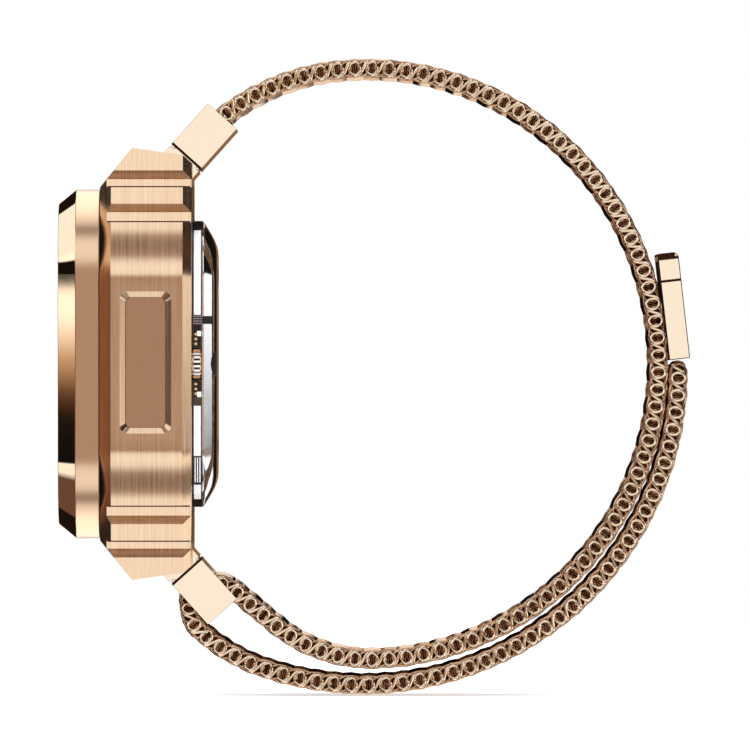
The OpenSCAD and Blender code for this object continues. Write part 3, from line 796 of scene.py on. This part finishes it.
FLOOR_HALF = 0.6
FLOOR_GAP = 0.0002
floor = new_mesh("floor", [
    (-FLOOR_HALF, -FLOOR_HALF, 0), (FLOOR_HALF, -FLOOR_HALF, 0),
    (FLOOR_HALF, FLOOR_HALF, 0), (-FLOOR_HALF, FLOOR_HALF, 0)], [(0, 1, 2, 3)], smooth=False)
floor.location.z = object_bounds()[0].z - FLOOR_GAP
floor.visible_glossy = False
floor.data.materials.append(plain(
    "floor_paint", (0.9, 0.9, 0.9), (0.93, 0.93, 0.93), (0.8, 0.9), 40,
    Emission_Color=(1, 1, 1, 1), Emission_Strength=0.6))

# ---- Studio: cards and walls that the metal reflects, which the camera sees as plain white ----

BROWN = (0.30, 0.145, 0.06)
UMBER = (0.155, 0.085, 0.065)
CARD = (0.30, 0.17, 0.11)
TAN = (0.66, 0.46, 0.30)
DARK = (0.12, 0.05, 0.025)
EDGE = (0.012, 0.008, 0.006)
BLACK = (0.008, 0.007, 0.006)
SHADE = (0.36, 0.30, 0.25)
GREY = (0.45, 0.45, 0.46)
PANEL = (1.14, 1.20, 1.27)
BRIGHT = (1.15, 1.22, 1.28)
WHITE = (1.5, 1.5, 1.5)
OVERHEAD = (1.7, 1.75, 1.8)

# Colours by height, from straight down at 0 to straight up at 1, for what looks forward or back
FRONT_FAR = [
    (0.0, UMBER), (0.32, UMBER), (0.36, BRIGHT), (0.425, BRIGHT), (0.435, BLACK), (0.59, BLACK),
    (0.605, WHITE), (0.66, BRIGHT), (0.825, BRIGHT), (0.84, DARK), (0.88, BROWN), (1.0, BRIGHT)]
BACK_FAR = [
    (0.0, GREY), (0.20, GREY), (0.23, BLACK), (0.28, BLACK), (0.30, WHITE), (0.37, WHITE),
    (0.42, SHADE), (0.50, SHADE), (0.502, WHITE), (0.56, WHITE), (0.58, BLACK), (0.86, BLACK),
    (0.87, WHITE), (0.885, WHITE), (0.90, BLACK), (1.0, GREY)]
# Colours across the narrow band of heights near level
FRONT_NEAR = [
    (0.0, BLACK), (0.18, BLACK), (0.31, DARK), (0.50, TAN), (0.74, WHITE), (0.87, WHITE), (0.90, BLACK)]
BACK_NEAR = [(0.0, BLACK), (0.3, BLACK), (0.8, GREY), (1.0, WHITE)]
# Colours by distance from level, at 0, to straight up or down, at 1, for what looks sideways
SIDES = [
    (0.0, BROWN), (0.18, BROWN), (0.28, BRIGHT), (0.77, BRIGHT), (0.82, BROWN), (0.86, DARK),
    (0.92, DARK), (0.955, BRIGHT), (1.0, BRIGHT)]

world = bpy.data.worlds.new("studio")
bpy.context.scene.world = world
world.use_nodes = True
tree = world.node_tree
tree.nodes.clear()


def math_node(operation, a, b=None):
    """A math node of the studio whose inputs are sockets or numbers."""
    m = node(tree, "ShaderNodeMath", operation=operation)
    for i, value in enumerate((a, b)):
        if isinstance(value, (int, float)):
            m.inputs[i].default_value = value
        elif value is not None:
            tree.links.new(value, m.inputs[i])
    return m.outputs[0]


def times(a, b):
    """The product of two sockets or numbers."""
    return math_node("MULTIPLY", a, b)


def plus(a, b):
    """The sum of two sockets or numbers."""
    return math_node("ADD", a, b)


def without(share):
    """1 where the share is 0, and 0 where it is 1."""
    return math_node("SUBTRACT", 1.0, share)


def zone(value, low, high):
    """1 where the value lies above the step between low and high, else 0."""
    m = node(tree, "ShaderNodeMapRange")
    m.inputs["From Min"].default_value = low
    m.inputs["From Max"].default_value = high
    tree.links.new(value, m.inputs["Value"])
    return m.outputs["Result"]


def colour(value):
    """A fixed colour as a socket."""
    c = node(tree, "ShaderNodeRGB")
    c.outputs[0].default_value = (*value, 1)
    return c.outputs[0]


def blend_colours(share, a, b):
    """Colour a where the share is 0 and b where it is 1."""
    m = node(tree, "ShaderNodeMix", data_type="RGBA")
    tree.links.new(share, m.inputs["Factor"])
    tree.links.new(a, m.inputs[6])
    tree.links.new(b, m.inputs[7])
    return m.outputs[2]


# Parts of the direction that a reflection looks in
coords = node(tree, "ShaderNodeTexCoord")
split = node(tree, "ShaderNodeSeparateXYZ")
tree.links.new(coords.outputs["Generated"], split.inputs[0])
along_x, along_y, up = split.outputs
level = math_node("ABSOLUTE", up)
height = zone(up, -1, 1)
beyond = times(along_x, -1.0)
forward = times(along_y, -1.0)
off_level = zone(level, 0.010, 0.012)
in_front = zone(forward, 0.42, 0.5)
partly_in_front = zone(forward, 0.2, 0.35)


def far_and_near(near_low, near_high, near, far):
    """Colours by height, with others across a narrow band of heights near level."""
    near_colours = ramp(tree, zone(up, near_low, near_high), near)
    return blend_colours(off_level, near_colours, ramp(tree, height, far))


def card_share():
    """Brown card ahead and to the side, which the front slope of the case sees by way of the bezel."""
    return times(times(zone(along_x, 0.38, 0.46), in_front), without(zone(level, 0.3, 0.36)))


def overhead_share():
    """Bright overhead beyond the object, for the turned-over ends of the bezel."""
    share = times(zone(beyond, -0.05, 0.05), zone(level, 0.4, 0.55))
    return times(times(share, without(partly_in_front)), without(zone(along_y, 0.25, 0.4)))


def corner_share():
    """Dark corner beyond the object, which draws the outline of every round edge."""
    shifted = plus(beyond, times(partly_in_front, 0.27))
    corner = math_node("SUBTRACT", zone(shifted, 0.42, 0.5), zone(beyond, 0.985, 0.993))
    raised = zone(level, 0.24, 0.32)
    lowered = times(zone(times(up, -1.0), -0.01, 0.01), 0.16)
    high_part = times(zone(plus(beyond, lowered), 0.64, 0.70), times(zone(forward, 0.15, 0.25), raised))
    return times(corner, plus(without(raised), zone(high_part, 0.0, 0.5)))


def studio_colours():
    """Colour of the studio in each direction."""
    room = blend_colours(zone(along_x, 0.998, 0.9985), ramp(tree, level, SIDES), colour(PANEL))
    back = far_and_near(-0.0036, 0.0, BACK_NEAR, BACK_FAR)
    front = far_and_near(-0.0045, 0.0066, FRONT_NEAR, FRONT_FAR)
    room = blend_colours(zone(along_y, 0.28, 0.36), room, back)
    room = blend_colours(in_front, room, front)
    room = blend_colours(card_share(), room, colour(CARD))
    room = blend_colours(overhead_share(), room, colour(OVERHEAD))
    return blend_colours(corner_share(), room, colour(EDGE))


paths = node(tree, "ShaderNodeLightPath")
lit = node(tree, "ShaderNodeBackground")
seen = node(tree, "ShaderNodeBackground")
seen.inputs["Color"].default_value = (1, 1, 1, 1)
tree.links.new(studio_colours(), lit.inputs["Color"])
mix = node(tree, "ShaderNodeMixShader")
tree.links.new(paths.outputs["Is Camera Ray"], mix.inputs[0])
tree.links.new(lit.outputs[0], mix.inputs[1])
tree.links.new(seen.outputs[0], mix.inputs[2])
out = node(tree, "ShaderNodeOutputWorld")
tree.links.new(mix.outputs[0], out.inputs["Surface"])

# ---- Lamps ----

LAMP_TARGET = Vector((0, 0.02, 0))


def soft_lamp(name, at, size, power):
    """Large lamp aimed at the watch that lights paint and plastic but leaves no glint on metal."""
    data = bpy.data.lights.new(name, "AREA")
    data.size = size
    data.energy = power
    lamp = bpy.data.objects.new(name, data)
    bpy.context.scene.collection.objects.link(lamp)
    lamp.location = at
    lamp.rotation_euler = (LAMP_TARGET - Vector(at)).to_track_quat("-Z", "Y").to_euler()
    lamp.visible_glossy = False


soft_lamp("top_lamp", (0.2, 0, 1.5), 1.5, 14)
soft_lamp("side_lamp", (1.5, 0.2, 0.5), 1.2, 14)
soft_lamp("left_lamp", (-1.5, -0.4, 0.6), 1.2, 8)
